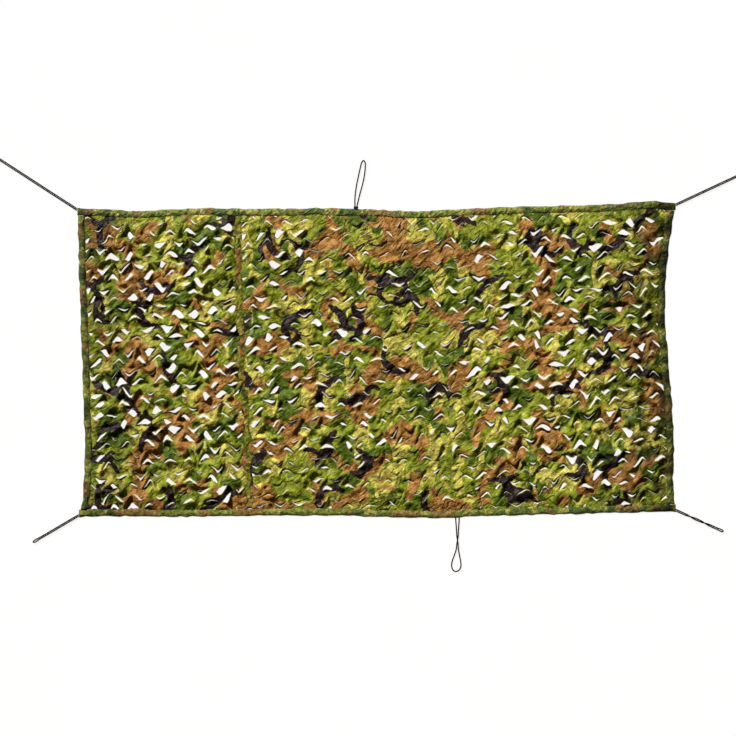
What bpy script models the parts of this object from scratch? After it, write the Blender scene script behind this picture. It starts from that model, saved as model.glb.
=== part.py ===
"""Camouflage net: a leaf-cut cloth in two widths, bound all round, with six cord loops.

The net lies on a flat surface with its upper side up.  +X runs along the net's length
and +Y across it.  Lengths in the tables are millimetres, as their column names say.
"""

import math
import random

import bmesh
import bpy
import numpy as np
from mathutils import Vector
from mathutils.geometry import delaunay_2d_cdt

MM = 0.001

# ---- The cloth's outline: four pulled corners, and sides that sag in between them ----
CORNER_MM = {
    "top_left": (-1504.0, 763.0),
    "top_right": (1504.0, 788.0),
    "bottom_right": (1504.0, -765.0),
    "bottom_left": (-1496.0, -791.0),
}
# (share of the way from the left corner, how far the edge is drawn in, mm)
TOP_DRAW = (
    (0.00, 0), (0.10, 17), (0.20, 5), (0.30, 12), (0.40, 10), (0.47, 17),
    (0.57, 30), (0.67, 17), (0.77, 9), (0.87, 7), (0.97, -10), (1.00, 0),
)
BOTTOM_DRAW = (
    (0.00, 0), (0.10, 2), (0.17, -4), (0.29, -2), (0.40, -3), (0.54, -15),
    (0.60, -20), (0.70, -12), (0.80, -8), (0.94, -1), (1.00, 0),
)
# (share of the way from the top corner, how far the edge is drawn in, mm)
LEFT_DRAW = ((0.0, 0), (0.17, 4), (0.36, 13), (0.51, 22), (0.62, 25), (0.77, 31), (0.91, 25), (1.0, 0))
RIGHT_DRAW = (
    (0.00, 0), (0.06, 15), (0.17, 40), (0.27, 50), (0.37, 54),
    (0.48, 40), (0.63, 20), (0.79, 5), (0.89, 15), (1.00, 0),
)
LONG_EDGE_STATIONS = 31
SHORT_EDGE_STATIONS = 17

# ---- Binding, and the band sewn over the join of the two cloth widths ----
BINDING_WIDTH = 0.038
BINDING_CROWN = 0.0085
BINDING_INNER_RISE = 0.004
BINDING_OUTER_RISE = 0.005
BINDING_RIPPLE = 0.16
# (share of the way from the top edge, the join's place along X, mm)
JOIN_LINE = ((0.0, -702), (0.25, -692), (0.5, -677), (0.75, -651), (1.0, -636))
BAND_WIDTH = 0.040
BAND_EDGE_RISE = 0.0035
BAND_CROWN = 0.0055
SEWN_GAP = 0.0003

# ---- Leaf-cut cloth ----
CLOTH_THICKNESS = 0.0025
CLOTH_BASE = 0.0006
RELIEF = 0.0085
RELIEF_FADE = 0.070
SWELL_GAIN = 1.6
# (wavelength mm, direction in degrees, phase in degrees)
SWELLS = ((520, 20, 40), (340, 105, 200), (235, -38, 80), (170, 66, 310))
LEAF_PITCH = 0.1107
LEAF_ROW_STEP = (0.0503, -0.0604)
LEAF_ROW_RISE = 0.0101
PITCH_FACTOR = 1.42
LATTICE_SPAN = (3.6, 1.9)
LATTICE_TOP = 0.90
ROW_DRIFT = 0.004
CUT_HALF_SPAN = 0.051
CUT_DROP = 0.028
CUT_MOUTH = 0.022
CUT_MOUTH_LEAST = 0.008
CUT_MARGIN = 0.010
TURN_JITTER = math.radians(9)
SIZE_JITTER = 0.14
PLACE_JITTER = 0.007
LEAF_TIP_LIFT = 0.008
SEED = 11
# (place along X mm, how open the cuts stand there)
OPEN_ALONG = (
    (-1460, 0.8), (-1330, 1.5), (-800, 1.6), (-640, 1.0), (-350, 0.85), (-80, 0.5),
    (480, 0.5), (620, 0.95), (780, 1.15), (1300, 1.15), (1460, 0.8),
)
# (place along Y mm, how open the cuts stand there)
OPEN_ACROSS = ((-760, 0.6), (-560, 0.65), (-300, 1.0), (0, 1.25), (250, 1.15), (760, 0.85))

# ---- Cords: each is doubled into a loop whose two ends meet the binding ----
CORD_DIAMETER = 0.0065
CORD_SEAT = 0.0001
CORD_GAP = 0.0004
# A section follows another after this length or this much turning.
CORD_STEP = 0.030
CORD_TURN = math.radians(15)
TIE_INSET = 0.009
TIE_STRAND = 3.6
# Corner ties, by name: the heading in degrees from +X.
TIE_HEADING = {"top_left": 147.1, "top_right": 25.0, "bottom_left": 210.4, "bottom_right": -24.1}
# (distance out from the corner mm, distance to the side mm[, lift over the other strand mm])
TIE_ROUTE = {
    "top_left": (
        (60, -3.6), (190, -3.8), (330, -3.5), (430, -3.7), (468, -3.7), (486, -4.6), (500, -7.4),
        (510.5, -11.3), (517, -13), (523.5, -11.3), (528.3, -6.5), (530, 0), (528.3, 6.5), (523.5, 11.3),
        (517, 13), (510.5, 11.3), (500, 7.4), (486, 4.6), (468, 3.7), (430, 3.7), (330, 3.8), (190, 3.5),
        (60, 3.7),
    ),
    "top_right": (
        (60, -3.7), (190, -3.5), (320, -3.7), (357, -3.7), (375, -4.6), (389, -7.4), (399.5, -11.3),
        (406, -13), (412.5, -11.3), (417.3, -6.5), (419, 0), (417.3, 6.5), (412.5, 11.3), (406, 13),
        (399.5, 11.3), (389, 7.4), (375, 4.6), (357, 3.7), (320, 3.7), (190, 3.8), (60, 3.6),
    ),
    "bottom_left": (
        (60, -3.7), (160, -3.5), (235, -3.7), (251, -4.7), (262, -4.0), (267, 0), (262, 4.0),
        (251, 4.7), (235, 3.7), (160, 3.8), (60, 3.6),
    ),
    "bottom_right": (
        (40, -3.7), (62, -2.9, 5.0), (80, 0, 7.2), (98, 2.9, 5.0), (120, 3.7), (142, 2.9), (160, 0),
        (178, -2.9), (200, -3.7), (232, -3.8), (248, -4.7), (257, -4.0), (262, 0), (257, 4.0),
        (248, 4.7), (232, 3.8), (200, 3.7), (178, 2.9, 5.0), (160, 0, 7.2), (142, -2.9, 5.0),
        (120, -3.7), (98, -2.9), (80, 0), (62, 2.9), (40, 3.7),
    ),
}
# Loops on the long edges, by name: the place along X, mm, and the side of the net.
LOOP_PLACE = {"top_middle": (-104, 1), "bottom_middle": (407, -1)}
# (distance along X from the loop's place mm, distance out from the edge mm[, lift mm])
LOOP_ROUTE = {
    "top_middle": (
        (-3.7, 0.6), (-4.3, 12), (-5.0, 32), (-4.2, 60), (1.0, 104), (8, 142), (16, 180),
        (22.5, 208), (29, 232), (38, 244), (46.5, 235), (47.6, 218), (45.6, 190), (41.6, 162),
        (35.5, 132), (26, 96), (17.5, 64), (10.2, 34), (5.6, 12), (3.9, 0.6),
    ),
    "bottom_middle": (
        (-9.0, 0.6), (-8.6, 14), (-6.4, 42), (-4.4, 74), (-3.0, 96, 5.8), (0, 116, 7.3),
        (3.0, 136, 5.8), (4.6, 158), (10, 192), (16, 222), (17.2, 246), (9, 265), (-7, 272),
        (-21, 266), (-29, 247), (-27, 222), (-16.5, 192), (-6.0, 160), (-3.8, 138), (0, 116),
        (3.8, 94), (4.4, 74), (6.6, 42), (8.4, 14), (8.8, 0.6),
    ),
}

# Linear colour, roughness, metallic.
FINISHES = {
    "printed_cloth": ((0.120, 0.125, 0.022), 0.78, 0.0),
    "binding_cloth": ((0.075, 0.095, 0.022), 0.82, 0.0),
    "join_cloth": ((0.110, 0.072, 0.020), 0.82, 0.0),
    "cord": ((0.012, 0.014, 0.008), 0.70, 0.0),
}


def clear_scene():
    """Empty the scene that the script opens in."""
    for old in list(bpy.data.objects):
        bpy.data.objects.remove(old, do_unlink=True)


def finish(name):
    """A Principled material from the table of finishes."""
    colour, roughness, metallic = FINISHES[name]
    material = bpy.data.materials.new(name)
    material.use_nodes = True
    shader = material.node_tree.nodes["Principled BSDF"]
    shader.inputs["Base Color"].default_value = (*colour, 1.0)
    shader.inputs["Roughness"].default_value = roughness
    shader.inputs["Metallic"].default_value = metallic
    return material


def place(name, data, material):
    """Link data to the scene as one named object with one material."""
    data.materials.append(material)
    piece = bpy.data.objects.new(name, data)
    bpy.context.scene.collection.objects.link(piece)
    return piece


def read_row(table, at):
    """Value of a two-column table at a place, eased from row to row."""
    keys = np.array([row[0] for row in table], float)
    values = np.array([row[1] for row in table], float)
    at = np.clip(np.asarray(at, float), keys[0], keys[-1])
    row = np.clip(np.searchsorted(keys, at, side="right") - 1, 0, len(keys) - 2)
    share = (at - keys[row]) / (keys[row + 1] - keys[row])
    eased = share * share * (3 - 2 * share)
    return values[row] + (values[row + 1] - values[row]) * eased


def edge_line(start, end, draw, inward, stations):
    """Points along one side of the net: a straight run drawn in by its table."""
    share = np.linspace(0, 1, stations)
    start = np.array(CORNER_MM[start])
    end = np.array(CORNER_MM[end])
    points = start + (end - start) * share[:, None]
    return (points + np.array(inward) * read_row(draw, share)[:, None]) * MM


TOP = edge_line("top_left", "top_right", TOP_DRAW, (0, -1), LONG_EDGE_STATIONS)
BOTTOM = edge_line("bottom_left", "bottom_right", BOTTOM_DRAW, (0, 1), LONG_EDGE_STATIONS)
LEFT = edge_line("top_left", "bottom_left", LEFT_DRAW, (1, 0), SHORT_EDGE_STATIONS)[::-1]
RIGHT = edge_line("top_right", "bottom_right", RIGHT_DRAW, (-1, 0), SHORT_EDGE_STATIONS)[::-1]


def y_of(line, x, inset=0.0):
    """Height across the net of a long edge at x, moved by inset."""
    return float(np.interp(x, line[:, 0], line[:, 1])) + inset


def x_of(line, y, inset=0.0):
    """Place along the net of a short edge at y, moved by inset."""
    return float(np.interp(y, line[:, 1], line[:, 0])) + inset


def join_x(y, side=0.0):
    """Place along the net of the join at y, moved by side."""
    top = CORNER_MM["top_left"][1] * MM
    bottom = CORNER_MM["bottom_left"][1] * MM
    return float(read_row(JOIN_LINE, (top - y) / (top - bottom))) * MM + side


def rows_between(low, high):
    """The short edges' stations across the net, cut to a range and closed at its ends."""
    inner = [y for y in LEFT[:, 1] if low + BINDING_WIDTH / 2 < y < high - BINDING_WIDTH / 2]
    return [low, *inner, high]


def end_rows(x):
    """Where a strip across the net starts and ends: a sewn gap inside both long bindings."""
    inset = BINDING_WIDTH + SEWN_GAP
    return y_of(BOTTOM, x, inset), y_of(TOP, x, -inset)


# ---- Strips: binding and band ----


def ripple(length, seed):
    """Gentle pucker along a sewn strip: two sines of the length along it."""
    return 1 + BINDING_RIPPLE * (
        0.6 * math.sin(length / 0.047 + seed) + 0.4 * math.sin(length / 0.021 + 2.3 * seed)
    )


def strip_solid(name, sections, material):
    """One closed strip skinned over its sections, each a ring of points."""
    count = len(sections[0])
    mesh = bmesh.new()
    rings = [[mesh.verts.new(point) for point in section] for section in sections]
    for here, after in zip(rings, rings[1:]):
        for i in range(count):
            j = (i + 1) % count
            mesh.faces.new((here[i], here[j], after[j], after[i]))
    mesh.faces.new(rings[0])
    mesh.faces.new(rings[-1])
    bmesh.ops.triangulate(mesh, faces=mesh.faces)
    bmesh.ops.recalc_face_normals(mesh, faces=mesh.faces)
    data = bpy.data.meshes.new(name)
    mesh.to_mesh(data)
    mesh.free()
    return place(name, data, material)


def strip_section(inner, outer, rises, swell):
    """A strip's cross-section from its inner to its outer edge: flat below, crowned above."""
    inner_rise, crown, outer_rise = rises
    middle = ((inner[0] + outer[0]) / 2, (inner[1] + outer[1]) / 2)
    return (
        (inner[0], inner[1], 0.0),
        (inner[0], inner[1], inner_rise),
        (middle[0], middle[1], crown * swell),
        (outer[0], outer[1], outer_rise),
        (outer[0], outer[1], 0.0),
    )


def long_binding(name, line, inward, material, seed):
    """Binding along a long edge, from corner to corner."""
    rises = (BINDING_INNER_RISE, BINDING_CROWN, BINDING_OUTER_RISE)
    sections = [
        strip_section((x, y + inward * BINDING_WIDTH), (x, y), rises, ripple(x, seed))
        for x, y in line
    ]
    return strip_solid(name, sections, material)


def short_binding(name, line, inward, material, seed):
    """Binding along a short edge, between the two long bindings."""
    rises = (BINDING_INNER_RISE, BINDING_CROWN, BINDING_OUTER_RISE)
    middle = float(line[:, 0].mean())
    low, high = end_rows(middle)
    sections = []
    for y in rows_between(low, high):
        outer = x_of(line, y)
        inner = outer + inward * BINDING_WIDTH
        at = [(inner, y), (outer, y)]
        if y in (low, high):
            at = [(x, end_rows(x)[0 if y == low else 1]) for x in (inner, outer)]
        sections.append(strip_section(at[0], at[1], rises, ripple(y, seed)))
    return strip_solid(name, sections, material)


def join_band(name, material):
    """Band over the join of the two cloth widths, between the two long bindings."""
    low, high = end_rows(join_x(0.0))
    rises = (BAND_EDGE_RISE, BAND_CROWN, BAND_EDGE_RISE)
    half = BAND_WIDTH / 2
    sections = []
    for y in rows_between(low, high):
        at = [(join_x(y, side), y) for side in (-half, half)]
        if y in (low, high):
            at = [(x, end_rows(x)[0 if y == low else 1]) for x, _ in at]
        sections.append(strip_section(at[0], at[1], rises, ripple(y, 1.7)))
    return strip_solid(name, sections, material)


# ---- Leaf-cut cloth ----


def cloth_border(left_of, right_of):
    """Border of one cloth width, anticlockwise, a sewn gap inside what it is sewn to."""
    inset = BINDING_WIDTH + SEWN_GAP
    apart = BINDING_WIDTH / 4

    def corner(side_of, line, step):
        x = side_of(line[:, 1].mean())
        for _ in range(4):
            y = y_of(line, x, step)
            x = side_of(y)
        return x, y

    bottom_left = corner(left_of, BOTTOM, inset)
    bottom_right = corner(right_of, BOTTOM, inset)
    top_right = corner(right_of, TOP, -inset)
    top_left = corner(left_of, TOP, -inset)
    low = [(x, y + inset) for x, y in BOTTOM if bottom_left[0] + apart < x < bottom_right[0] - apart]
    high = [(x, y - inset) for x, y in TOP if top_left[0] + apart < x < top_right[0] - apart]
    right = [(right_of(y), y) for y in rows_between(bottom_right[1], top_right[1])[1:-1]]
    left = [(left_of(y), y) for y in rows_between(bottom_left[1], top_left[1])[1:-1]]
    return [bottom_left, *low, bottom_right, *right, top_right, *high[::-1], top_left, *left[::-1]]


def leaf_centres():
    """Staggered places of the cuts: (x, y, +1 for a cut that points up or -1 for down)."""
    pitch = LEAF_PITCH * PITCH_FACTOR
    rise = LEAF_ROW_RISE * PITCH_FACTOR
    step_x = LEAF_ROW_STEP[0] * PITCH_FACTOR
    step_y = LEAF_ROW_STEP[1] * PITCH_FACTOR
    rows = int(LATTICE_SPAN[1] / -step_y)
    columns = int(LATTICE_SPAN[0] / pitch)
    places = []
    for row in range(rows):
        stagger = step_x * (row % 2)
        for column in range(columns):
            along = column - columns / 2
            x = along * pitch + stagger + ROW_DRIFT * row
            y = LATTICE_TOP + row * step_y + along * rise
            places.append((x, y, 1 if row % 2 == 0 else -1))
    return places


def leaf_cut(x, y, point, rng):
    """Outline of one gaping cut: two wings that fall from a blunt peak, and its four lifts."""
    gape = float(read_row(OPEN_ALONG, x / MM) * read_row(OPEN_ACROSS, y / MM))
    size = 1 + SIZE_JITTER * rng.uniform(-1, 1)
    span = CUT_HALF_SPAN * size * (0.86 + 0.14 * min(gape, 1.2))
    mouth = max(CUT_MOUTH_LEAST, CUT_MOUTH * gape * rng.uniform(0.7, 1.3))
    lean = 0.30 * span * rng.uniform(-1, 1)
    turn = math.atan2(LEAF_ROW_RISE, LEAF_PITCH) + TURN_JITTER * rng.uniform(-1, 1)
    x += PLACE_JITTER * rng.uniform(-1, 1)
    y += PLACE_JITTER * rng.uniform(-1, 1)
    shape = (
        (-span, -0.5 * CUT_DROP),
        (lean, 0.5 * CUT_DROP - 0.5 * mouth),
        (span, -0.5 * CUT_DROP),
        (lean, 0.5 * CUT_DROP + 0.5 * mouth),
    )
    cos, sin = math.cos(turn), math.sin(turn)
    outline = [(x + u * cos - v * point * sin, y + u * sin + v * point * cos) for u, v in shape]
    lift = LEAF_TIP_LIFT * rng.uniform(0.5, 1.0)
    return outline, (0.0, lift, 0.0, 0.25 * lift)


def inside(polygon, x, y):
    """True where (x, y) lies in the polygon, by counting crossings."""
    found = False
    for (ax, ay), (bx, by) in zip(polygon, [*polygon[1:], polygon[0]]):
        if (ay > y) != (by > y) and x < (bx - ax) * (y - ay) / (by - ay) + ax:
            found = not found
    return found


def border_distance(border, x, y):
    """Distance from (x, y) to the nearest run of the border."""
    a = np.array(border)
    run = np.roll(a, -1, axis=0) - a
    to = np.array((x, y)) - a
    share = np.clip((to * run).sum(1) / (run * run).sum(1), 0, 1)
    return float(np.hypot(*(to - run * share[:, None]).T).min())


def relief(x, y, distance):
    """Height of the slack cloth: a mean of swells, flattened towards the sewn border."""
    total = 0.0
    for wavelength, heading, phase in SWELLS:
        turn = math.radians(heading)
        along = (x * math.cos(turn) + y * math.sin(turn)) / (wavelength * MM)
        total += math.sin(2 * math.pi * along + math.radians(phase))
    share = min(distance / RELIEF_FADE, 1.0)
    swell = 0.5 + 0.5 * SWELL_GAIN * total / len(SWELLS)
    return RELIEF * swell * share * share * (3 - 2 * share)


def leaf_cloth(name, border, rng, material):
    """One width of leaf-cut cloth: its border and cuts triangulated, then made thick."""
    points = list(border)
    heights = [CLOTH_BASE] * len(border)
    loops = [list(range(len(border)))]
    cuts = []
    for x, y, point in leaf_centres():
        outline, lifts = leaf_cut(x, y, point, rng)
        if any(not inside(border, *p) or border_distance(border, *p) < CUT_MARGIN for p in outline):
            continue
        first = len(points)
        cuts.append(outline)
        points += outline
        for p, lift in zip(outline, lifts):
            height = relief(*p, border_distance(border, *p))
            heights.append(CLOTH_BASE + max(height, 0.0) + lift)
        loops.append(list(range(first, len(points))))
    edges = [(a, b) for loop in loops for a, b in zip(loop, [*loop[1:], loop[0]])]
    found = delaunay_2d_cdt([Vector(p) for p in points], edges, [], 0, 1e-7)
    source = [origin[0] for origin in found[3]]
    mesh = bmesh.new()
    verts = [mesh.verts.new((*p, h)) for p, h in zip(points, heights)]
    for triangle in found[2]:
        corners = [source[i] for i in triangle]
        middle = np.mean([points[i] for i in corners], axis=0)
        near = [cut for cut in cuts if abs(cut[1][0] - middle[0]) < 2 * CUT_HALF_SPAN]
        if inside(border, *middle) and not any(inside(cut, *middle) for cut in near):
            mesh.faces.new([verts[i] for i in corners])
    grown = bmesh.ops.extrude_face_region(mesh, geom=mesh.faces[:], use_keep_orig=True)
    top = [item for item in grown["geom"] if isinstance(item, bmesh.types.BMVert)]
    bmesh.ops.translate(mesh, verts=top, vec=(0, 0, CLOTH_THICKNESS))
    bmesh.ops.recalc_face_normals(mesh, faces=mesh.faces)
    data = bpy.data.meshes.new(name)
    mesh.to_mesh(data)
    mesh.free()
    return place(name, data, material)


# ---- Cords ----


def smooth_route(points):
    """Points on the centripetal Catmull-Rom curve through a route, closer together in its bends."""
    p = np.array(points, float)
    p = np.vstack([2 * p[0] - p[1], p, 2 * p[-1] - p[-2]])
    fine = []
    for a, b, c, d in zip(p, p[1:], p[2:], p[3:]):
        gaps = [math.sqrt(np.linalg.norm(v - u)) for u, v in ((a, b), (b, c), (c, d))]
        knots = np.cumsum([0] + gaps)
        t = np.linspace(knots[1], knots[2], 24, endpoint=False)[:, None]
        ab = (a * (knots[1] - t) + b * (t - knots[0])) / (knots[1] - knots[0])
        bc = (b * (knots[2] - t) + c * (t - knots[1])) / (knots[2] - knots[1])
        cd = (c * (knots[3] - t) + d * (t - knots[2])) / (knots[3] - knots[2])
        abc = (ab * (knots[2] - t) + bc * (t - knots[0])) / (knots[2] - knots[0])
        bcd = (bc * (knots[3] - t) + cd * (t - knots[1])) / (knots[3] - knots[1])
        fine.append((abc * (knots[2] - t) + bcd * (t - knots[1])) / (knots[2] - knots[1]))
    fine = np.vstack([*fine, p[-2:-1]])
    fine[:, 2] = np.maximum(fine[:, 2], 0)
    ahead = np.diff(fine, axis=0)
    length = np.linalg.norm(ahead, axis=1)
    ahead /= length[:, None]
    turn = np.arccos(np.clip((ahead[1:] * ahead[:-1]).sum(axis=1), -1, 1))
    cost = np.cumsum(np.concatenate([[0], length / CORD_STEP])) + np.concatenate(
        [[0, 0], np.cumsum(turn / CORD_TURN)]
    )
    even = np.linspace(0, cost[-1], round(cost[-1]) + 1)
    return np.column_stack([np.interp(even, cost, fine[:, i]) for i in range(3)])


def cord_tube(name, route, material):
    """A cord of round section along a route of X, Y and lift, on the surface where the lift is 0."""
    curve = bpy.data.curves.new(name, "CURVE")
    curve.dimensions = "3D"
    curve.bevel_depth = CORD_DIAMETER / 2
    curve.bevel_resolution = 2
    curve.use_fill_caps = True
    points = smooth_route(route)
    spline = curve.splines.new("POLY")
    spline.points.add(len(points) - 1)
    for target, (x, y, lift) in zip(spline.points, points):
        target.co = (x, y, CORD_DIAMETER / 2 + CORD_SEAT + lift, 1.0)
    return place(name, curve, material)


def corner_tie(corner, material):
    """Doubled cord from the end face of a long binding, along the tie's heading."""
    heading = math.radians(TIE_HEADING[corner])
    ahead = (math.cos(heading), math.sin(heading))
    right = math.copysign(1, ahead[0])
    up = math.copysign(1, ahead[1])
    aside = (-right * abs(ahead[1]), up * abs(ahead[0]))
    x = CORNER_MM[corner][0] * MM
    y = CORNER_MM[corner][1] * MM - up * TIE_INSET
    # Each strand starts where the rim of its end just clears the face.
    gap, radius = CORD_GAP / MM, CORD_DIAMETER / MM / 2
    ends = [
        ((gap + abs(ahead[1]) * (radius + side)) / abs(ahead[0]), side)
        for side in (-TIE_STRAND, TIE_STRAND)
    ]
    route = []
    for u, v, *lift in (ends[0], *TIE_ROUTE[corner], ends[1]):
        route.append((x + (u * ahead[0] + v * aside[0]) * MM, y + (u * ahead[1] + v * aside[1]) * MM,
                      sum(lift) * MM))
    return cord_tube(f"cord_{corner}", route, material)


def edge_loop(name, line, material):
    """Cord loop out of the outer face of a long binding."""
    along, out = LOOP_PLACE[name]
    route = []
    for u, v, *lift in LOOP_ROUTE[name]:
        x = (along + u) * MM
        base = y_of(line, min(max(x, (along - 9) * MM), (along + 9) * MM))
        route.append((x, base + out * v * MM, sum(lift) * MM))
    return cord_tube(f"cord_{name}", route, material)


def main():
    clear_scene()
    cloth = finish("printed_cloth")
    binding = finish("binding_cloth")
    cord = finish("cord")
    long_binding("binding_top", TOP, -1, binding, 0.4)
    long_binding("binding_bottom", BOTTOM, 1, binding, 2.9)
    short_binding("binding_left", LEFT, 1, binding, 1.3)
    short_binding("binding_right", RIGHT, -1, binding, 5.1)
    join_band("join_band", finish("join_cloth"))
    rng = random.Random(SEED)
    inset = BINDING_WIDTH + SEWN_GAP
    edge = BAND_WIDTH / 2 + SEWN_GAP
    left = cloth_border(lambda y: x_of(LEFT, y, inset), lambda y: join_x(y, -edge))
    right = cloth_border(lambda y: join_x(y, edge), lambda y: x_of(RIGHT, y, -inset))
    leaf_cloth("cloth_left", left, rng, cloth)
    leaf_cloth("cloth_right", right, rng, cloth)
    for corner in TIE_ROUTE:
        corner_tie(corner, cord)
    edge_loop("top_middle", TOP, cord)
    edge_loop("bottom_middle", BOTTOM, cord)


main()
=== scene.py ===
import math

import bpy
import numpy as np
from bpy.props import FloatProperty, PointerProperty, StringProperty
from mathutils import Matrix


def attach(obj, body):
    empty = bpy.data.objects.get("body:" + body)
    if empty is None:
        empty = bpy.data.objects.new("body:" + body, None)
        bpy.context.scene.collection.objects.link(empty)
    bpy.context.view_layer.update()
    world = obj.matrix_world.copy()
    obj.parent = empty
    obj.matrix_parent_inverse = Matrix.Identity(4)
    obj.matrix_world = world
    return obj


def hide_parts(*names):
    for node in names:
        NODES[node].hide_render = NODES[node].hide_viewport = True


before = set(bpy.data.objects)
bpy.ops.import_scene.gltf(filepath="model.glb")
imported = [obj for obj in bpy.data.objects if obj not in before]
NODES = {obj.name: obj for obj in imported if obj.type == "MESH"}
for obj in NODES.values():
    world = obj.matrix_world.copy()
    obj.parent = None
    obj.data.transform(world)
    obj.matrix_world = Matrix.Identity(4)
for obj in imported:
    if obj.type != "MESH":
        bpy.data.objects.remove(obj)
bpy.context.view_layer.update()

# Camouflage net laid flat: leaf-cut printed cloth in two widths, bound all round, with
# six cord loops.  Metres, +X along the net, +Y across it, +Z up out of its upper side.

bl_info = {
    "name": "Camouflage net",
    "version": (1, 0, 0),
    "blender": (4, 5, 0),
    "location": "View3D > Sidebar > Net",
    "description": "Builds a leaf-cut camouflage net, its binding, join and cords",
    "category": "Add Mesh",
}

MM = 0.001
SEED = 5

# ---- The leaf cuts on the flat cloth, in metres ----
# The step from cut to cut along a row and from row to row, and the grid's cells in each.
LEAF_PITCH = np.array((0.0985, 0.0090))
ROW_STEP = np.array((0.0044, -0.0520))
PITCH_CELLS = 13
ROW_CELLS = 5
# The cuts of odd rows stand half a pitch on.
ODD_SHIFT = 0.5
# How far the cloth runs on inside the binding, and how far in from the binding's inner line its
# height is held down.
HEM_TUCK = 0.012
HEM_HOLD = 0.05

# Share of the cuts that open along one wing of their chevron only, to one side of its point.
ONE_WING_SHARE = 0.24
# What a cut draws between, least and most, where it opens along one wing and along both: where
# its middle lies beside the chevron's point, in pitches, its length, and how far it leans.
CUT_ASIDE = ((0.08, 0.24), (-0.15, 0.15))
CUT_SPAN = ((0.60, 1.20), (0.80, 1.45))
CUT_LEAN = ((0.35, 0.95), (-0.75, 0.75))
# What each leaf draws between: how high it lifts, and how much paler it is painted than its neighbour, a
# painted highlight.
LEAF_LIFT = (0.45, 1.25)
LEAF_LIGHT = (-0.30, 1.00)

# How unevenly wide the mouths are, a mouth's area as a share of width times half length, the
# share of the tables' openness that they are cut for, how much slack closes of each, and its limits.
MOUTH_SPREAD = 0.85
MOUTH_AREA = 1.22
MOUTH_OPEN = 0.89
MOUTH_CLOSED = 0.0012
MOUTH_LIMITS = (0.0004, 0.042)
# How blunt and how uneven a leaning cut's opening is.
LEAN_BLUNT = 2.4
LEAN_SKEW = 0.6
# The leaf side's share of a mouth, and the power by which the shift falls off away from the cut.
LEAF_SHARE = 0.74
SHIFT_FALL = 2.6
# How many rows a leaf tip's lift reaches and the power by which it falls off, and how deep the
# cloth across the cut dips and the power of that.
TIP_REACH = 0.62
TIP_FALL = 1.8
DIP_SHARE = 0.30
DIP_FALL = 3
# The mouth at which a leaf tip lifts the most, and the shares of its lift at a closed cut and there.
LIFT_MOUTH = 0.018
LIFT_CLOSED = 0.35
LIFT_MOST = 1.35
# How rare deep painted shade is on the leaf side and across the cut, where the cloth is tucked under, and how
# many rows it reaches.
PAINTED_SHADE_RARE = (2.2, 1.5)
PAINTED_SHADE_REACH = 0.45
# How much darker the cloth across the cut is painted than its leaf is painted paler, as painted shade and
# painted highlight, and how many rows both reach.
BACK_SHADE = 0.8
LEAF_LIGHT_REACH = 0.85
# How bare the edge of a closed cut is, and the gape that adds a whole share to that.
LIP_CLOSED = 0.66
LIP_GAPE = 0.012

# The share of the rows' swing in its third wave, and its least and most from place to place.
SWING_THIRD = 0.10
SWING_UNEVEN = (0.35, 1.65)
# Uneven lie of the cloth: (reach, size along X, size along Y), and the patches of uneven swing.
WARPS = ((0.018, 0.085, 0.075), (0.008, 0.042, 0.040))
SWING_PATCH = 0.09

# The hem's height, how much higher the cloth lies inside it, its middle height, the most that it
# goes above or below that, and the rise that is eased off.
Z_HEM = 0.0030
Z_INSIDE = 0.0029
Z_MIDDLE = 0.0140
Z_REACH = 0.0132
Z_EASE = 0.0142
# The open share at which the cloth creases in full, and the limits of that.
SLACK_OPEN = 0.09
SLACK_LIMITS = (0.6, 1.2)

# (place along X mm, share of the cloth that stands open there)
OPEN_ALONG = (
    (-1450, 0.10), (-1330, 0.115), (-830, 0.13), (-640, 0.085), (-220, 0.063), (-70, 0.038),
    (80, 0.03), (530, 0.052), (680, 0.086), (1130, 0.098), (1450, 0.074),
)
# (place along Y mm, how that share is raised or lowered)
OPEN_ACROSS = (
    (-740, 0.7), (-560, 0.66), (-410, 1.0), (-260, 1.0), (-110, 1.3), (45, 1.26), (195, 1.02),
    (500, 1.0), (740, 0.8),
)

# ---- Cords: routes in millimetres, as the cord solids have them ----
# How far from its corner a tie starts, how far to each side its strands lie, and how far they
# stand off the binding and off the floor.
TIE_INSET = 9.0
TIE_STRAND = 3.6
CORD_GAP = 0.4
CORD_SEAT = 0.1
# The net's corners, mm, and each tie's heading in degrees from +X.
TIES = {
    "top_left": ((-1504.0, 763.0), 147.1),
    "top_right": ((1504.0, 788.0), 25.0),
    "bottom_left": ((-1496.0, -791.0), 210.4),
    "bottom_right": ((1504.0, -765.0), -24.1),
}
# An upper tie's eye of 13 mm radius: (distance back from its tip mm, distance to the side mm).
TIE_EYE = (
    (62, -3.7), (44, -4.6), (30, -7.4), (19.5, -11.3), (13, -13), (6.5, -11.3), (1.7, -6.5), (0, 0),
    (1.7, 6.5), (6.5, 11.3), (13, 13), (19.5, 11.3), (30, 7.4), (44, 4.6), (62, 3.7),
)
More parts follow.
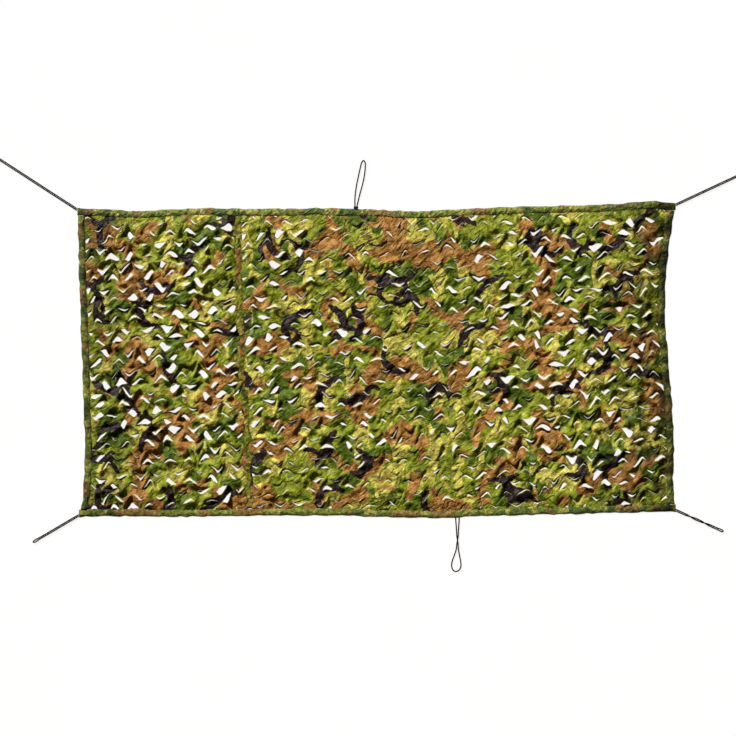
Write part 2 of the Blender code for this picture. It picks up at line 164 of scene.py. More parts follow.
# (distance out from the corner mm, distance to the side mm[, lift over the other strand mm])
TIE_ROUTE = {
    "top_left": (
        (60, -3.6), (190, -3.8), (330, -3.5), (430, -3.7), *((530 - u, v) for u, v in TIE_EYE),
        (430, 3.7), (330, 3.8), (190, 3.5), (60, 3.7),
    ),
    "top_right": (
        (60, -3.7), (190, -3.5), (320, -3.7), *((419 - u, v) for u, v in TIE_EYE),
        (320, 3.7), (190, 3.8), (60, 3.6),
    ),
    "bottom_left": (
        (60, -3.7), (160, -3.5), (235, -3.7), (251, -4.7), (262, -4.0), (267, 0), (262, 4.0),
        (251, 4.7), (235, 3.7), (160, 3.8), (60, 3.6),
    ),
    "bottom_right": (
        (40, -3.7), (62, -2.9, 5.0), (80, 0, 7.2), (98, 2.9, 5.0), (120, 3.7), (142, 2.9), (160, 0),
        (178, -2.9), (200, -3.7), (232, -3.8), (248, -4.7), (257, -4.0), (262, 0), (257, 4.0),
        (248, 4.7), (232, 3.8), (200, 3.7), (178, 2.9, 5.0), (160, 0, 7.2), (142, -2.9, 5.0),
        (120, -3.7), (98, -2.9), (80, 0), (62, 2.9), (40, 3.7),
    ),
}
# Turns of thin line round the top loop's foot: their distances out from the binding, mm, the
# line's radius, and the arch that each makes, as (distance aside mm, height mm).
WHIP_TURNS = (2.2, 5.0, 7.8, 10.6)
WHIP_RADIUS = 1.5
WHIP_ARCH = (
    (-10.4, 1.7), (-9.2, 4.0), (-7.2, 6.8), (-4.0, 8.3), (0, 8.6), (4.0, 8.3), (7.2, 6.8),
    (9.2, 4.0), (10.4, 1.7),
)
# Loops on the long edges: the place along X mm, and the side of the net.
LOOPS = {"top_middle": (-104, 1), "bottom_middle": (407, -1)}
# (distance along X from the loop's place mm, distance out from the edge mm[, lift mm])
LOOP_ROUTE = {
    "top_middle": (
        (-3.7, 0.6), (-4.3, 12), (-5.0, 32), (-4.2, 60), (1.0, 104), (8, 142), (16, 180),
        (22.5, 208), (29, 232), (38, 244), (46.5, 235), (47.6, 218), (45.6, 190), (41.6, 162),
        (35.5, 132), (26, 96), (17.5, 64), (10.2, 34), (5.6, 12), (3.9, 0.6),
    ),
    "bottom_middle": (
        (-9.0, 0.6), (-8.6, 14), (-6.4, 42), (-4.4, 74), (-3.0, 96, 5.8), (0, 116, 7.3),
        (3.0, 136, 5.8), (4.6, 158), (10, 192), (16, 222), (17.2, 246), (9, 265), (-7, 272),
        (-21, 266), (-29, 247), (-27, 222), (-16.5, 192), (-6.0, 160), (-3.8, 138), (0, 116),
        (3.8, 94), (4.4, 74), (6.6, 42), (8.4, 14), (8.8, 0.6),
    ),
}


# ======== Sizes and colours a user may change ========


class NetSizes(bpy.types.PropertyGroup):
    """Sizes of the net's finer forms"""

    cut_half_span: FloatProperty(
        name="Cut half span", description="Half a leaf cut, tip to middle, as a share of the pitch",
        default=0.26, min=0.1, max=0.46)
    leaf_wave: FloatProperty(
        name="Leaf wave", description="How far the cut rows swing to each side",
        default=0.0145, unit="LENGTH")
    leaf_lift: FloatProperty(
        name="Leaf lift", description="How high a fully open leaf tip curls off the surface",
        default=0.016, unit="LENGTH")
    cloth_wall: FloatProperty(
        name="Cloth", description="Thickness the cloth is drawn with", default=0.0009, unit="LENGTH")
    relief: FloatProperty(
        name="Relief", description="Height of the slack cloth's long swells",
        default=0.0085, unit="LENGTH")
    crumple: FloatProperty(
        name="Crumple", description="Height of the small creases", default=0.0180, unit="LENGTH")
    fold: FloatProperty(
        name="Fold", description="Height of the folds between the cuts", default=0.0185, unit="LENGTH")
    cord_diameter: FloatProperty(
        name="Cord", description="Diameter of the cord", default=0.0065, unit="LENGTH")
    cord_lay: FloatProperty(
        name="Cord lay", description="Length of one full turn of the cord's strands",
        default=0.030, unit="LENGTH")
    stitch_pitch: FloatProperty(
        name="Stitch pitch", description="Distance from stitch to stitch", default=0.0065, unit="LENGTH")


class NetColours(bpy.types.PropertyGroup):
    """Colours of the net, as sRGB hex"""

    leaf_green: StringProperty(name="Leaf green", description="Middle green", default="#676d19")
    deep_green: StringProperty(name="Deep green", description="Dark green", default="#3e4c0c")
    straw: StringProperty(name="Straw", description="Pale yellow green", default="#918839")
    bark: StringProperty(name="Bark", description="Orange brown", default="#7e5828")
    branch: StringProperty(name="Branch", description="Near black brown", default="#1f1513")
    binding: StringProperty(name="Binding", description="Faded binding", default="#5a6842")
    join: StringProperty(name="Join", description="Faded join band", default="#54401c")
    # The colour of painted shade, on the cloth, the strips and the thread.
    shade: StringProperty(name="Shade", description="Cloth that is tucked under", default="#0c0800")
    thread: StringProperty(name="Thread", description="Sewing thread", default="#4b5430")
    cord_dark: StringProperty(name="Cord, dark", description="Main yarn", default="#060705")
    cord_pale: StringProperty(name="Cord, pale", description="Fleck yarn", default="#22231a")
    cut_edge: StringProperty(name="Cut edge", description="Hot-cut edges", default="#cdc99a")
    floor: StringProperty(name="Floor", description="Floor", default="#525050")
    floor_shade: StringProperty(name="Floor, shade", description="Floor's other tone", default="#4e4c4c")


def linear(hex_colour):
    """sRGB hex to a linear RGBA colour."""
    raw = [int(hex_colour[i:i + 2], 16) / 255 for i in (1, 3, 5)]
    return (*[c / 12.92 if c <= 0.04045 else ((c + 0.055) / 1.055) ** 2.4 for c in raw], 1.0)


# ======== Number helpers ========


def eased(table, at):
    """Value of a two-column table at a place: linear from row to row."""
    keys, values = np.array(table, float).T
    return np.interp(at, keys, values)


def between(limits, share):
    """The value at a share of the way from a least value to a most one."""
    return limits[0] + (limits[1] - limits[0]) * share


def grain(x, y, cell, seed):
    """Smooth noise from 0 to 1: random values on a square lattice, eased between its points."""
    values = np.random.default_rng(seed).random((128, 128))
    gx, gy = x / cell, y / cell
    ix, iy = np.floor(gx).astype(int), np.floor(gy).astype(int)
    fx, fy = gx - ix, gy - iy
    fx, fy = fx * fx * (3 - 2 * fx), fy * fy * (3 - 2 * fy)
    a, b = values[ix % 128, iy % 128], values[(ix + 1) % 128, iy % 128]
    c, d = values[ix % 128, (iy + 1) % 128], values[(ix + 1) % 128, (iy + 1) % 128]
    return (a * (1 - fx) + b * fx) * (1 - fy) + (c * (1 - fx) + d * fx) * fy


def measured(line):
    """Length along a line at each of its points."""
    return np.concatenate([[0], np.cumsum(np.linalg.norm(np.diff(line, axis=0), axis=1))])


def evenly(line, count):
    """A line's points, spaced evenly along it."""
    s = measured(line)
    at = np.linspace(0, s[-1], count)
    return np.column_stack([np.interp(at, s, values) for values in line.T])


def grid_faces(rows, columns, close=False):
    """Quads of a grid of points, numbered row by row; close joins the last column to the first."""
    ids = np.arange(rows * columns).reshape(rows, columns)
    if close:
        ids = np.hstack([ids, ids[:, :1]])
    return np.stack([ids[:-1, :-1], ids[:-1, 1:], ids[1:, 1:], ids[1:, :-1]], -1).reshape(-1, 4)


def mesh_piece(name, points, faces, material, uv=None, marks=None, smooth=True):
    """A mesh object from arrays, with a UV place for each point and named point values."""
    mesh = bpy.data.meshes.new(name)
    mesh.from_pydata(np.asarray(points, float).reshape(-1, 3).tolist(), [], [list(f) for f in faces])
    mesh.validate()
    if uv is not None:
        layer = mesh.uv_layers.new(name="flat")
        corner = np.empty(len(mesh.loops), np.int32)
        mesh.loops.foreach_get("vertex_index", corner)
        layer.data.foreach_set("uv", np.asarray(uv, np.float32).reshape(-1, 2)[corner].ravel())
    for key, values in (marks or {}).items():
        mark = mesh.attributes.new(key, "FLOAT", "POINT")
        mark.data.foreach_set("value", np.asarray(values, np.float32).ravel())
    if smooth:
        mesh.shade_smooth()
    mesh.materials.append(material)
    piece = bpy.data.objects.new(name, mesh)
    bpy.context.scene.collection.objects.link(piece)
    return piece


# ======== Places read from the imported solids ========


def strip_edges(node, along):
    """A strip's two long edges, from the lowest points of its solid.

    They are sorted along one axis and taken in pairs, a pair for each of its stations.
    The first line has the lower value of the other axis.
    """
    solid = NODES[node].data
    co = np.empty(len(solid.vertices) * 3)
    solid.vertices.foreach_get("co", co)
    low = np.unique(np.round(co.reshape(-1, 3), 6), axis=0)
    low = low[low[:, 2] < low[:, 2].min() + 1e-5][:, :2]
    low = low[np.argsort(low[:, along], kind="stable")]
    pairs = low[: len(low) // 2 * 2].reshape(-1, 2, 2)
    order = np.argsort(pairs[:, :, 1 - along], axis=1)
    pairs = np.take_along_axis(pairs, order[:, :, None], axis=1)
    return pairs[:, 0], pairs[:, 1]


BOTTOM_OUT, BOTTOM_IN = strip_edges("binding_bottom", 0)
TOP_IN, TOP_OUT = strip_edges("binding_top", 0)
LEFT_OUT, LEFT_IN = strip_edges("binding_left", 1)
RIGHT_IN, RIGHT_OUT = strip_edges("binding_right", 1)
BAND_LEFT, BAND_RIGHT = strip_edges("join_band", 1)


def across(line, x):
    """Y of a line that runs along X."""
    return np.interp(x, line[:, 0], line[:, 1])


def beside(line, y):
    """X of a line that runs along Y."""
    return np.interp(y, line[:, 1], line[:, 0])


# ======== Materials ========


# Settings of a noise on the flat cloth, and of a mix of two colours.
FLAT_NOISE = {"noise_dimensions": "2D"}
COLOUR_MIX = {"out": 2, "data_type": "RGBA"}
# Blots of the print, each laid over those before: ink, place in the noise, the noise's cells per
# metre along X and Y, which makes blots of some 100 to 180 mm, level, and half its edge's softness.
BLOTS = (
    ("deep_green", (3.1, 7.7, 0), (5.6, 6.6, 1), 0.534, 0.014),
    ("straw", (11.3, 2.9, 0), (10.4, 6.0, 1), 0.560, 0.012),
    ("bark", (5.9, 17.1, 0), (5.4, 6.2, 1), 0.553, 0.016),
)


def add(tree, kind, inputs=None, out=0, **settings):
    """Add one node and return one output.

    An input is given a value, a socket to link, or (least, most) for a pair named Min and Max.
    """
    node = tree.nodes.new("ShaderNode" + kind)
    for key, value in settings.items():
        setattr(node, key, value)
    for key, value in (inputs or {}).items():
        if isinstance(value, bpy.types.NodeSocket):
            tree.links.new(value, node.inputs[key])
        elif key in ("From", "To"):
            node.inputs[key + " Min"].default_value, node.inputs[key + " Max"].default_value = value
        else:
            node.inputs[key].default_value = value
    return node.outputs[out]


def new_material(name, roughness):
    """A Principled material with its constants set on the shader."""
    material = bpy.data.materials.new(name)
    material.use_nodes = True
    shader = material.node_tree.nodes["Principled BSDF"]
    shader.inputs["Roughness"].default_value = roughness
    shader.inputs["Specular IOR Level"].default_value = 0.08
    return material, material.node_tree, shader


def camouflage(tree, colours, place):
    """Colour of a woodland print: blots of deep green, straw and bark on green, then branches.

    A blot is where a ragged noise stands above its level.  A branch is where the point value
    "branch", the distance out from the nearest branch's edge, is less than a noise of up to
    10 mm each way, in cells of 24 mm.
    """

    def ragged(shift, scale, detail=2.6):
        """Noise with torn edges, moved and scaled on the flat cloth."""
        moved = add(tree, "Mapping", {"Vector": place, "Location": shift, "Scale": scale})
        return add(tree, "TexNoise", {"Vector": moved, "Scale": 1.0, "Detail": detail, "Roughness": 0.52,
                                      "Distortion": 0.4}, **FLAT_NOISE)

    colour = linear(colours.leaf_green)
    for ink, shift, scale, level, soft in BLOTS:
        mask = add(tree, "MapRange", {"Value": ragged(shift, scale), "From": (level - soft, level + soft)})
        colour = add(tree, "Mix", {0: mask, 6: colour, 7: linear(getattr(colours, ink))}, **COLOUR_MIX)
    edge = add(tree, "MapRange", {"Value": ragged((40, 3, 0), (42, 42, 1), 3.0), "To": (-0.010, 0.010)})
    branch = add(tree, "Attribute", out="Fac", attribute_name="branch")
    inked = add(tree, "Math", {0: edge, 1: branch}, operation="SUBTRACT")
    mask = add(tree, "MapRange", {"Value": inked, "From": (-0.0006, 0.0006)})
    return add(tree, "Mix", {0: mask, 6: colour, 7: linear(colours.branch)}, **COLOUR_MIX)


def printed_cloth(name, colours, wash, washed, tone, fade_scale):
    """Coated polyester cloth, woven, printed and hot-cut: dull, with a fine weave and soft creases.

    The print is washed towards one colour, and its strength changes over the given range.
    Painted shade and painted highlights are laid over it.
    """
    material, tree, shader = new_material(name, 0.48)
    place = add(tree, "UVMap", uv_map="flat")
    painted_shade, pale, lip = (add(tree, "Attribute", out="Fac", attribute_name=mark)
                       for mark in ("painted_shade", "tone", "lip"))
    colour = add(tree, "Mix", {0: washed, 6: camouflage(tree, colours, place), 7: linear(wash)}, **COLOUR_MIX)
    # The print fades in patches of 16 to 30 mm.
    fade = add(tree, "TexNoise", {"Vector": place, "Scale": fade_scale, "Detail": 4.0, "Roughness": 0.65},
               **FLAT_NOISE)
    strength = add(tree, "MapRange", {"Value": fade, "From": (0.36, 0.64), "To": tone})
    colour = add(tree, "VectorMath", {0: colour, "Scale": strength}, operation="SCALE")
    # Painted shade: the colour is darkened along one side of many cuts, where the cloth is tucked under, and
    # towards the net's ends.
    painted_shade_depth = add(tree, "MapRange", {"Value": painted_shade, "From": (0.18, 0.66), "To": (0, 0.88)})
    colour = add(tree, "Mix", {0: painted_shade_depth, 6: colour, 7: linear(colours.shade)}, **COLOUR_MIX)
    # Painted highlight and shade: fine flecks 6 mm apart, paler and darker, stand for light on the
    # finest creases; and a leaf that lies back to the light is painted paler than the cloth across its cut.
    fleck = add(tree, "TexNoise", {"Vector": place, "Scale": 165.0, "Detail": 2.0, "Roughness": 0.6},
                **FLAT_NOISE)
    painted_light_scale = add(tree, "MapRange", {"Value": fleck, "From": (0.35, 0.70), "To": (0.80, 1.26)})
    leaf_light_scale = add(tree, "Math", {0: pale, 1: 0.36, 2: 1.0}, operation="MULTIPLY_ADD")
    painted_light_scale = add(tree, "Math", {0: painted_light_scale, 1: leaf_light_scale}, operation="MULTIPLY")
    colour = add(tree, "VectorMath", {0: colour, "Scale": painted_light_scale}, operation="SCALE")
    # The hot knife leaves a pale, hard edge along each cut.
    edge = add(tree, "MapRange", {"Value": lip, "From": (0.50, 0.82), "To": (0, 0.60)})
    colour = add(tree, "Mix", {0: edge, 6: colour, 7: linear(colours.cut_edge)}, **COLOUR_MIX)
    tree.links.new(colour, shader.inputs["Base Color"])
    # Soft creases of 36 by 17 mm run slantwise.  The weave of 0.5 mm threads is drawn at 2.4 mm,
    # so that it shows at all.
    drawn = add(tree, "Mapping", {"Vector": place, "Rotation": (0, 0, math.radians(38)),
                                  "Scale": (0.036, 0.017, 1.0)}, vector_type="TEXTURE")
    crease = add(tree, "TexNoise", {"Vector": drawn, "Scale": 1.0, "Detail": 2.0, "Roughness": 0.46,
                                    "Distortion": 0.6}, **FLAT_NOISE)
    creased = add(tree, "Bump", {"Height": crease, "Strength": 1.0, "Distance": 0.0088})
    weave = add(tree, "TexChecker", {"Vector": place, "Scale": 420.0}, out="Fac")
    woven = add(tree, "Bump", {"Height": weave, "Strength": 0.12, "Distance": 0.0004, "Normal": creased})
    tree.links.new(woven, shader.inputs["Normal"])
    return material


def twisted_cord(colours):
    """Three-strand twisted polypropylene cord: dark yarn with paler flecks on one strand."""
    material, tree, shader = new_material("twisted_cord", 0.85)
    place = add(tree, "UVMap", uv_map="flat")
    strand = add(tree, "Math", {0: add(tree, "SeparateXYZ", {0: place})}, operation="FRACT")
    one = add(tree, "MapRange", {"Value": strand, "From": (0.55, 0.62)})
    fleck = add(tree, "TexNoise", {"Vector": place, "Scale": 7.0, "Detail": 2.0}, **FLAT_NOISE)
    some = add(tree, "MapRange", {"Value": fleck, "From": (0.35, 0.6)})
    mask = add(tree, "Math", {0: one, 1: some}, operation="MULTIPLY")
    colour = add(tree, "Mix", {0: mask, 6: linear(colours.cord_dark), 7: linear(colours.cord_pale)},
                 **COLOUR_MIX)
    tree.links.new(colour, shader.inputs["Base Color"])
    yarn = add(tree, "TexWave", {"Vector": place, "Scale": 3.0, "Distortion": 1.0}, out="Fac")
    ridged = add(tree, "Bump", {"Height": yarn, "Strength": 0.3, "Distance": 0.0004})
    tree.links.new(ridged, shader.inputs["Normal"])
    return material


def sewing_thread(colours):
    """Spun polyester thread: dull, with its ply as slanting bands 2 mm apart along each stitch, painted shade
    in the grooves between them.
    """
    material, tree, shader = new_material("sewing_thread", 0.8)
    place = add(tree, "TexCoord", out="Object")
    ply = add(tree, "TexWave", {"Vector": place, "Scale": 300.0, "Distortion": 1.5}, out="Fac",
              bands_direction="DIAGONAL")
    # Painted shade: every other band is mixed towards the shade colour.
    colour = add(tree, "Mix", {0: ply, 6: linear(colours.thread), 7: linear(colours.shade)}, **COLOUR_MIX)
    tree.links.new(colour, shader.inputs["Base Color"])
    return material


def matt_table(name, colours):
    """Matt laminate: two close tones that change over 0.7 m."""
    material, tree, shader = new_material(name, 0.9)
    place = add(tree, "TexCoord", out="Object")
    noise = add(tree, "TexNoise", {"Vector": place, "Scale": 1.5})
    colour = add(tree, "Mix", {0: noise, 6: linear(colours.floor), 7: linear(colours.floor_shade)},
                 **COLOUR_MIX)
    tree.links.new(colour, shader.inputs["Base Color"])
    return material, shader


# ======== Cords ========


# Steps that a route's curve takes from one of its points to the next.
ROUTE_STEPS = 24


def smooth_route(points, step):
    """Even points on the centripetal Catmull-Rom curve through a route's own points.

    Between two points it is the last of three rounds of mixing neighbours by their knots.
    """
    p = np.array(points, float)
    p = np.vstack([2 * p[0] - p[1], p, 2 * p[-1] - p[-2]])
    fine = []
    for a, b, c, d in zip(p, p[1:], p[2:], p[3:]):
        knots = np.cumsum([0] + [math.sqrt(np.linalg.norm(v - u)) for u, v in ((a, b), (b, c), (c, d))])
        t = np.linspace(knots[1], knots[2], ROUTE_STEPS, endpoint=False)[:, None]
        level = [a, b, c, d]
        for lows, highs in (((0, 1, 2), (1, 2, 3)), ((0, 1), (2, 3)), ((1,), (2,))):
            level = [(low * (knots[j] - t) + high * (t - knots[i])) / (knots[j] - knots[i])
                     for low, high, i, j in zip(level, level[1:], lows, highs)]
        fine.append(level[0])
    fine = np.vstack([*fine, p[-2:-1]])
    fine[:, 2] = np.maximum(fine[:, 2], p[:, 2].min())
    return evenly(fine, max(2, round(measured(fine)[-1] / step) + 1))


def tie_route(corner, radius):
    """A corner tie's route in metres, X, Y and lift: from the binding's end face along its heading."""
    (cx, cy), heading = TIES[corner]
    heading = math.radians(heading)
    ahead = np.array((math.cos(heading), math.sin(heading)))
    right, up = np.sign(ahead)
    aside = np.array((-right * abs(ahead[1]), up * abs(ahead[0])))
    start = np.array((cx, cy - up * TIE_INSET))
    # Each strand starts where the rim of its end just clears the face.
    ends = [((CORD_GAP + abs(ahead[1]) * (radius / MM + side)) / abs(ahead[0]), side)
            for side in (-TIE_STRAND, TIE_STRAND)]
    return np.array([(*(start + u * ahead + v * aside), sum(lift))
                     for u, v, *lift in (ends[0], *TIE_ROUTE[corner], ends[1])]) * MM


def loop_route(name):
    """An edge loop's route in metres, X, Y and lift: out of the binding's outer face and back."""
    along, out = LOOPS[name]
    line = TOP_OUT if out > 0 else BOTTOM_OUT
    u, v, lift = np.array([(u, v, sum(rest)) for u, v, *rest in LOOP_ROUTE[name]]).T
    x = (along + u) * MM
    base = across(line, np.clip(x, (along - 9) * MM, (along + 9) * MM))
    return np.column_stack([x, base + out * v * MM, lift * MM])


def cord_skin(route, radius, lay, around=18, step=0.0016):
    """Points, faces and UVs of a three-strand cord along a route.

    The section at length s is a circle whose radius swells over three strands:
    r(a, s) = radius * (0.94 + 0.12 * |cos(1.5 * (a - 2 pi s / lay))|), closed at both ends.
    """
    line = smooth_route(route, step)
    ahead = np.gradient(line, axis=0)
    ahead /= np.linalg.norm(ahead, axis=1, keepdims=True)
    up = np.array((0.0, 0.0, 1.0))
    side = np.cross(ahead, up)
    side /= np.linalg.norm(side, axis=1, keepdims=True)
    lift = np.cross(side, ahead)
    s = np.arange(len(line))[:, None] * np.linalg.norm(line[1] - line[0])
    a = np.linspace(0, 2 * np.pi, around, endpoint=False)[None, :]
    turn = a - 2 * np.pi * s / lay
    r = radius * (0.94 + 0.12 * np.abs(np.cos(1.5 * turn)))
    out = np.cos(a)[..., None] * side[:, None] + np.sin(a)[..., None] * lift[:, None]
    points = line[:, None] + r[..., None] * out
    faces = [tuple(f[::-1]) for f in grid_faces(len(line), around, close=True)]
    last = (len(line) - 1) * around
    faces += [tuple(range(around)), tuple(range(last + around - 1, last - 1, -1))]
    uv = np.stack([turn / (2 * np.pi) + 50, np.broadcast_to(s / lay, turn.shape)], -1)
    return points.reshape(-1, 3), faces, uv.reshape(-1, 2), line


def join_parts(parts):
    """One set of points, faces and UVs from several."""
    starts = np.cumsum([0] + [len(points) for points, _, _ in parts])
    faces = [tuple(i + start for i in face) for start, (_, part, _) in zip(starts, parts) for face in part]
    return np.vstack([part[0] for part in parts]), faces, np.vstack([part[2] for part in parts])


def whipping(route, radius, lay):
    """Points, faces and UVs of the turns of thin line that bind a loop's two strands at its foot.

    Each turn is an arch over both strands, from the floor on one side to the floor on the other.
    """
    foot = (route[0] + route[-1]) / 2
    ahead = (route[1] + route[-2]) / 2 - foot
    ahead = ahead[:2] / np.linalg.norm(ahead[:2])
    aside = np.array((-ahead[1], ahead[0]))
    turns = []
    for along in WHIP_TURNS:
        at = foot[:2] + along * MM * ahead
        arch = [(*(at + u * MM * aside), z * MM) for u, z in WHIP_ARCH]
        turns.append(cord_skin(arch, radius, lay, around=10, step=0.0012)[:3])
    return join_parts(turns)


class NET_OT_cords(bpy.types.Operator):
    """Add the four corner ties and the two edge loops"""

    bl_idname = "net.cords"
    bl_label = "Cords"

    def execute(self, context):
        sizes, colours = context.scene.net_sizes, context.scene.net_colours
        material = twisted_cord(colours)
        radius = sizes.cord_diameter / 2
        routes = {name: (tie_route(name, radius), "taut" if name.startswith("top") else "loose")
                  for name in TIES}
        routes.update({name: (loop_route(name), "loose") for name in LOOPS})
        for name, (route, lay) in routes.items():
            route = route + (0, 0, radius + CORD_SEAT * MM)
            points, faces, uv, line = cord_skin(route, radius, sizes.cord_lay)
            cord = mesh_piece(f"{name}_cord", points, faces, material, uv)
            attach(cord, "root")
            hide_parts(f"cord_{name}")
            if name == "top_middle":
                points, faces, uv = whipping(route, WHIP_RADIUS * MM, sizes.cord_lay)
                turns = mesh_piece("whipping", points, faces, material, uv)
                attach(turns, "root")
        return {"FINISHED"}


# ======== Print ========

HALF_LENGTH = 1.5
# Painted shade at the left end and at the right one: (most, reach in metres).
END_SHADE = ((0.40, 0.72), (0.58, 0.62))
# The grid that the printed branches stand on, metres, how many of its cells have one, the count,
# length and half width, metres, of a limb's and a twig's parts, and how many of the two joints
# that may have a twig do.
FORK_PITCH = (0.270, 0.235)
FORK_CHANCE = 0.70
LIMB = (6, 0.034, 0.0200)
TWIG = (4, 0.026, 0.0130)
TWIG_CHANCE = 0.7


def branch_distance(x, y, seed):
    """Distance in metres from points of the flat cloth to the edge of the nearest printed branch.

    One forked branch stands on most cells of a coarse grid: a curved limb, widest in the
    middle, with up to two twigs from its joints.  The distance to a tapering length is that to
    its middle line less its half width.
    """
    rng = np.random.default_rng(seed)
    lengths = []

    def limb(start, heading, count, step, half):
        """Add a curved run of lengths, widest in the middle; its joints and last heading."""
        joints, bend = [start], rng.choice((-1, 1)) * rng.uniform(0.15, 0.60)
        wide = half * (0.35 + 0.65 * np.sin(np.pi * (np.arange(count + 1) + 0.4) / (count + 1)))
        for i in range(count):
            heading = heading + bend + rng.uniform(-0.25, 0.25)
            end = joints[-1] + step * rng.uniform(0.7, 1.3) * np.array((math.cos(heading), math.sin(heading)))
            lengths.append((*joints[-1], *end, wide[i], wide[i + 1]))
            joints.append(end)
        return joints, heading

    for i in np.arange(-7, 8):
        for j in np.arange(-4, 5):
            start = np.array((i, j)) * FORK_PITCH + rng.uniform(-0.11, 0.11, 2)
            heading = rng.uniform(0, 2 * np.pi)
            if rng.random() > FORK_CHANCE:
                continue
            joints, last = limb(start, heading, *LIMB)
            for joint in joints[2:5:2]:
                if rng.random() < TWIG_CHANCE:
                    limb(joint, last + rng.choice((-1, 1)) * rng.uniform(0.7, 1.4), *TWIG)
    nearest = np.full(np.shape(x), 1.0)
    for ax, ay, bx, by, wide, thin in lengths:
        along = np.array((bx - ax, by - ay))
        t = np.clip(((x - ax) * along[0] + (y - ay) * along[1]) / (along @ along), 0, 1)
        off = np.hypot(x - ax - t * along[0], y - ay - t * along[1])
        nearest = np.minimum(nearest, off - wide - t * (thin - wide))
    return nearest


# ======== Leaf-cut cloth ========


# Long swells: wavelength in metres, heading and phase in degrees; they rise over this much cloth.
SWELLS = ((0.52, 20, 40), (0.34, 105, 200), (0.235, -38, 80), (0.17, 66, 310))
SWELL_EDGE = 0.07
# Small creases: size in metres, share of the height; and what brings their mean to zero.
CREASES = ((0.048, 0.42), (0.029, 0.33), (0.019, 0.25))
CREASE_MEAN = 0.65
# Folds: a crease's middle and most share of the height and its reach in cells, and the most
# share, the reach and the roundness of the pillows between creases.
FOLD_CREASE = (0.35, 1.00)
FOLD_REACH = 0.20
PILLOW_SHARE, PILLOW_REACH, PILLOW_ROUND = 1.1, 0.25, 1.3


def end_shade(x, y):
    """Painted shade where the cloth bunches up towards the net's ends, in patches of 35 mm.

    It falls evenly from its most at each end to nothing at its reach from there.
    """
    from_ends = (x + HALF_LENGTH, HALF_LENGTH - x)
    ends = np.maximum(*(most * (1 - far / reach) for (most, reach), far in zip(END_SHADE, from_ends)))
    return np.clip(ends, 0, 1) * between((0.4, 1.6), grain(x, y, 0.035, 70))


def swell(x, y, distance, height):
    """Long swells of slack cloth: four sines in their own directions, flat at the sewn border."""
    total = 0.0
    for wavelength, heading, phase in SWELLS:
        turn = math.radians(heading)
        along = (x * math.cos(turn) + y * math.sin(turn)) / wavelength
        total = total + np.sin(2 * np.pi * along + math.radians(phase))
    share = np.clip(distance / SWELL_EDGE, 0, 1)
    return np.maximum(height * (0.5 + 0.2 * total), 0) * share * share * (3 - 2 * share)


def creases(x, y, height):
    """Small sharp creases: folded noise at three sizes, each turned its own way, about zero."""
    total = -CREASE_MEAN
    for i, (cell, share) in enumerate(CREASES):
        turn = 0.7 + 1.3 * i
        a = x * math.cos(turn) - y * math.sin(turn)
        b = x * math.sin(turn) + y * math.cos(turn)
        total = total + share * (1 - np.abs(2 * grain(a, b, cell, 40 + i) - 1))
    return height * total


def folds(U, V, height, rng):
    """Folds between the cuts: creases from each bridge of whole cloth to the next, and pillows.

    In a band between two rows of cuts the bridges above and below are half a pitch apart, so
    the creases run at c = 0.5 -/+ 0.5 t, with t from 0 to 1 down the band.  Each crease is a
    share of height * (1 - distance / reach), mostly up; each leaf between two swells or sags.
    """
    band = np.floor(V + 1e-9)
    t = np.clip(V - band, 0, 1)
    shifted = U + 0.5 * (band % 2)
    cell = np.floor(shifted)
    f = shifted - cell
    d_left, d_right = np.abs(f - 0.5 + 0.5 * t), np.abs(f - 0.5 - 0.5 * t)
    draw = rng.random((4, 128, 128)) * 2 - 1
    b, c = band.astype(int) % 128, cell.astype(int) % 128
    crease_left = between(FOLD_CREASE, draw[0, b, c]) * np.clip(1 - d_left / FOLD_REACH, 0, 1)
    crease_right = between(FOLD_CREASE, draw[1, b, c]) * np.clip(1 - d_right / FOLD_REACH, 0, 1)
    edge = np.minimum(d_left, d_right)
    side = (f > 0.5 + 0.5 * t) | (f < 0.5 - 0.5 * t)
    nearest = np.floor(shifted + 0.5).astype(int) % 128
    pillow = np.where(side, draw[2, b, nearest], draw[3, b, c])
    pillow = PILLOW_SHARE * pillow * np.clip(edge / PILLOW_REACH, 0, 1) ** PILLOW_ROUND
    return height * (crease_left + crease_right + pillow)


